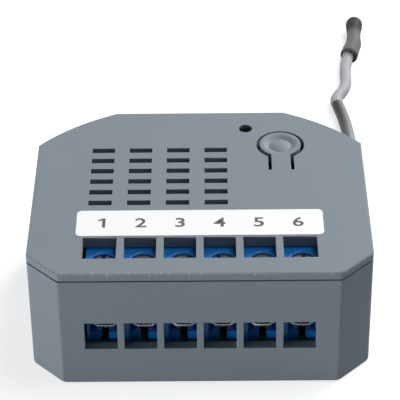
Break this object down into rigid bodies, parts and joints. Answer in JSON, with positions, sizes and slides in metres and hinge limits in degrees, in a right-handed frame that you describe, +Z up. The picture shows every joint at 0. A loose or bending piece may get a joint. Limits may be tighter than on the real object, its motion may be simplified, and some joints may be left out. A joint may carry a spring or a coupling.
{
  "type": "relay module",
  "caption": "Flush-mount radio relay module: grey snap casing with cut-off corners, a row of screw terminals, vent slots, a push tongue and a trailing wire antenna.",
  "frame": {"origin": "centre of the casing's underside", "axes": "+X to the right seen from the wire windows, +Y from the wire windows to the rear wall, +Z up through the cover"},
  "size_m": [0.0482, 0.0885, 0.0176],
  "materials": {
    "casing_grey": "fine matt moulding",
    "label_white": "printed paper label",
    "board_green": "solder mask",
    "block_blue": "satin moulding",
    "plated_steel": "zinc or tin plated",
    "relay_black": "satin moulding",
    "bobbin_cream": "plain moulding",
    "copper_winding": "enamelled wire",
    "taped_winding": "wrapped in tape",
    "soft_iron": "plated soft iron",
    "contact_bronze": "bronze spring strip",
    "ferrite": "pressed ferrite",
    "capacitor_sleeve": "sleeved can",
    "varistor_blue": "lacquered disc",
    "resistor_tan": "lacquered",
    "chip_black": "moulded epoxy",
    "radio_blue": "solder mask",
    "led_lens": "diffused lens",
    "wire_sheath": "smooth insulation",
    "cap_rubber": "shrunk sleeve"
  },
  "bodies": {
    "casing": {"base_shell": "casing_grey", "top_cover": "casing_grey", "terminal_label": "label_white", "circuit_board": "board_green", "terminal_block": "block_blue", "terminal_contacts": "plated_steel", "relay_case": "relay_black", "relay_base": "relay_black", "relay_bobbin": "bobbin_cream", "relay_winding": "copper_winding", "relay_core": "soft_iron", "relay_yoke": "soft_iron", "relay_make_contact": "contact_bronze", "relay_break_contact": "contact_bronze", "relay_coil_pins": "plated_steel", "transformer_bobbin": "relay_black", "transformer_winding": "taped_winding", "transformer_core": "ferrite", "bulk_capacitor": "capacitor_sleeve", "output_capacitor": "capacitor_sleeve", "varistor": "varistor_blue", "fuse_resistor": "resistor_tan", "rectifier": "chip_black", "power_controller": "chip_black", "radio_board": "radio_blue", "radio_shield": "plated_steel", "chip_parts": "chip_black", "tact_switch_body": "relay_black", "status_led": "led_lens", "antenna_feed": "wire_sheath", "antenna_wire": "wire_sheath", "antenna_cap": "cap_rubber"},
    "button": {"button_tongue": "casing_grey"},
    "plunger": {"tact_switch_plunger": "relay_black"},
    "armature": {"relay_armature": "soft_iron", "relay_contact_blade": "contact_bronze"},
    "clamp_1": {"clamp_cage_1": "plated_steel"},
    "screw_1": {"clamp_screw_1": "plated_steel"},
    "clamp_2": {"clamp_cage_2": "plated_steel"},
    "screw_2": {"clamp_screw_2": "plated_steel"},
    "clamp_3": {"clamp_cage_3": "plated_steel"},
    "screw_3": {"clamp_screw_3": "plated_steel"},
    "clamp_4": {"clamp_cage_4": "plated_steel"},
    "screw_4": {"clamp_screw_4": "plated_steel"},
    "clamp_5": {"clamp_cage_5": "plated_steel"},
    "screw_5": {"clamp_screw_5": "plated_steel"},
    "clamp_6": {"clamp_cage_6": "plated_steel"},
    "screw_6": {"clamp_screw_6": "plated_steel"}
  },
  "joints": [
    {"name": "button_press", "type": "hinge", "parent": "casing", "child": "button", "pos_m": [0.0108, 0.0044, 0.0169], "axis": [-1, 0, 0], "range_deg": [0, 2.5]},
    {"name": "plunger_press", "type": "slide", "parent": "casing", "child": "plunger", "axis": [0, 0, -1], "range_m": [0, 0.000257], "stiffness_N_per_m": 500},
    {"name": "armature_pull", "type": "hinge", "parent": "casing", "child": "armature", "pos_m": [-0.0013, 0.00525, 0.01415], "axis": [-1, 0, 0], "range_deg": [0, 3], "stiffness_Nm_per_rad": 0.02},
    {"name": "screw_turn_1", "type": "hinge", "parent": "casing", "child": "screw_1", "pos_m": [-0.01212, -0.0132, 0.012], "axis": [0, 0, -1], "range_deg": [0, 1440]},
    {"name": "clamp_lift_1", "type": "slide", "parent": "casing", "child": "clamp_1", "axis": [0, 0, 1], "range_m": [0, 0.0018]},
    {"name": "screw_turn_2", "type": "hinge", "parent": "casing", "child": "screw_2", "pos_m": [-0.00712, -0.0132, 0.012], "axis": [0, 0, -1], "range_deg": [0, 1440]},
    {"name": "clamp_lift_2", "type": "slide", "parent": "casing", "child": "clamp_2", "axis": [0, 0, 1], "range_m": [0, 0.0018]},
    {"name": "screw_turn_3", "type": "hinge", "parent": "casing", "child": "screw_3", "pos_m": [-0.00212, -0.0132, 0.012], "axis": [0, 0, -1], "range_deg": [0, 1440]},
    {"name": "clamp_lift_3", "type": "slide", "parent": "casing", "child": "clamp_3", "axis": [0, 0, 1], "range_m": [0, 0.0018]},
    {"name": "screw_turn_4", "type": "hinge", "parent": "casing", "child": "screw_4", "pos_m": [0.00288, -0.0132, 0.012], "axis": [0, 0, -1], "range_deg": [0, 1440]},
    {"name": "clamp_lift_4", "type": "slide", "parent": "casing", "child": "clamp_4", "axis": [0, 0, 1], "range_m": [0, 0.0018]},
    {"name": "screw_turn_5", "type": "hinge", "parent": "casing", "child": "screw_5", "pos_m": [0.00788, -0.0132, 0.012], "axis": [0, 0, -1], "range_deg": [0, 1440]},
    {"name": "clamp_lift_5", "type": "slide", "parent": "casing", "child": "clamp_5", "axis": [0, 0, 1], "range_m": [0, 0.0018]},
    {"name": "screw_turn_6", "type": "hinge", "parent": "casing", "child": "screw_6", "pos_m": [0.01288, -0.0132, 0.012], "axis": [0, 0, -1], "range_deg": [0, 1440]},
    {"name": "clamp_lift_6", "type": "slide", "parent": "casing", "child": "clamp_6", "axis": [0, 0, 1], "range_m": [0, 0.0018]}
  ],
  "couplings": [
    {"joint": "button_press", "follows": "plunger_press", "rad_per_m": 169.49},
    {"joint": "screw_turn_1", "follows": "clamp_lift_1", "rad_per_m": 13963},
    {"joint": "screw_turn_2", "follows": "clamp_lift_2", "rad_per_m": 13963},
    {"joint": "screw_turn_3", "follows": "clamp_lift_3", "rad_per_m": 13963},
    {"joint": "screw_turn_4", "follows": "clamp_lift_4", "rad_per_m": 13963},
    {"joint": "screw_turn_5", "follows": "clamp_lift_5", "rad_per_m": 13963},
    {"joint": "screw_turn_6", "follows": "clamp_lift_6", "rad_per_m": 13963}
  ]
}
